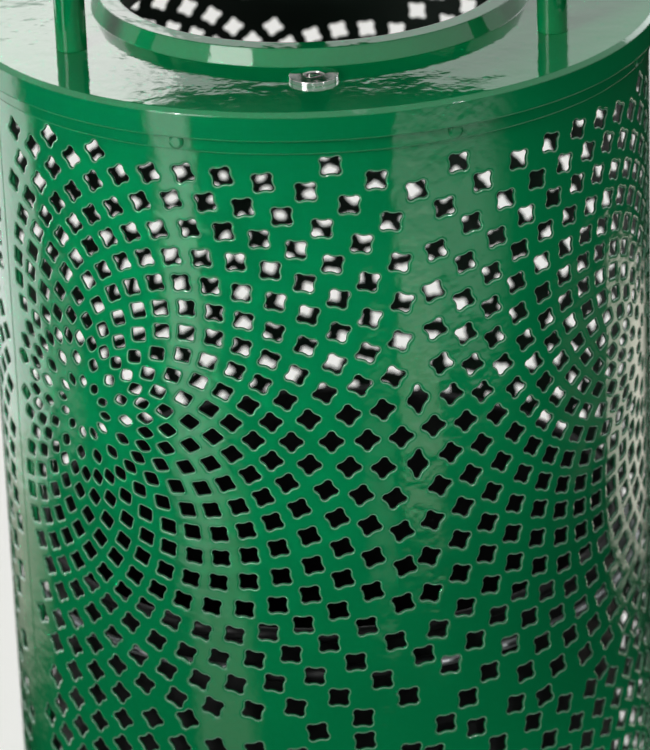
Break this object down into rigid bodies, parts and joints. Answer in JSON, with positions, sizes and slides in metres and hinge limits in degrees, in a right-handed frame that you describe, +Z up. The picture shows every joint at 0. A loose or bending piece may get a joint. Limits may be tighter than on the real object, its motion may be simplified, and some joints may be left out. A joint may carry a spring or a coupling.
{
  "type": "litter bin",
  "caption": "Cylindrical free-standing litter bin: perforated steel mantle with rosette pattern, hinged top with covered opening, key lock and lift-out liner.",
  "frame": {"origin": "centre of the base plate's underside, on the ground", "axes": "+Z up; front (lock side) towards -Y; hinge at +Y; +X to the right seen from the front"},
  "size_m": [0.4139, 0.436, 1.012],
  "materials": {
    "green_paint": "gloss green powder coat with light orange peel",
    "frame_paint": "dark green semi-gloss paint",
    "zinc_steel": "zinc plated, dull",
    "fastener": "stainless, satin",
    "lock_metal": "bright plated",
    "liner_plastic": "black moulded plastic",
    "rubber": "matt black rubber"
  },
  "bodies": {
    "bin_body": {"base_plate": "frame_paint", "plinth_ring": "frame_paint", "plinth_flange": "frame_paint", "floor_plate": "zinc_steel", "floor_bolts": "fastener", "floor_nuts": "fastener", "shell_bolts": "fastener", "shell_nuts": "fastener", "access_plugs": "rubber", "liner_pads": "rubber", "bottom_angle": "green_paint", "mantle": "green_paint", "bottom_rivets": "green_paint", "seam_strip": "green_paint", "top_rim": "green_paint", "rim_rivets": "green_paint", "lock_keeper": "zinc_steel", "keeper_rivets": "fastener", "lid_buffers": "rubber", "hinge_leaf_body": "green_paint", "hinge_backing_plate": "zinc_steel", "hinge_bolts": "fastener", "hinge_nuts": "fastener", "hinge_pin": "fastener"},
    "lid_assembly": {"lid": "green_paint", "hinge_leaf_lid": "green_paint", "lid_leaf_rivets": "green_paint", "aperture_trim": "rubber", "rain_cap": "green_paint", "cap_posts": "green_paint", "post_bolts": "fastener", "cap_bolts": "fastener", "lock_housing": "lock_metal", "lock_nut": "fastener"},
    "lock_turn": {"lock_barrel": "lock_metal", "lock_cam": "zinc_steel", "cam_nut": "fastener"},
    "liner_assembly": {"liner": "liner_plastic", "liner_ears": "zinc_steel", "ear_rivets": "fastener"},
    "bail": {"bail_handle": "zinc_steel", "bail_grip": "liner_plastic"}
  },
  "joints": [
    {"name": "lid_hinge", "type": "hinge", "parent": "bin_body", "child": "lid_assembly", "pos_m": [0, 0.212, 0.809], "axis": [-1, 0, 0], "range_deg": [0, 95]},
    {"name": "lock_key", "type": "hinge", "parent": "lid_assembly", "child": "lock_turn", "pos_m": [0, -0.15, 0.82], "axis": [0, 0, -1], "range_deg": [0, 90]},
    {"name": "liner_lift", "type": "slide", "parent": "bin_body", "child": "liner_assembly", "axis": [0, 0, 1], "range_m": [0, 0.27]},
    {"name": "bail_swing", "type": "hinge", "parent": "liner_assembly", "child": "bail", "pos_m": [0, 0, 0.478], "axis": [-1, 0, 0], "range_deg": [0, 180]}
  ]
}
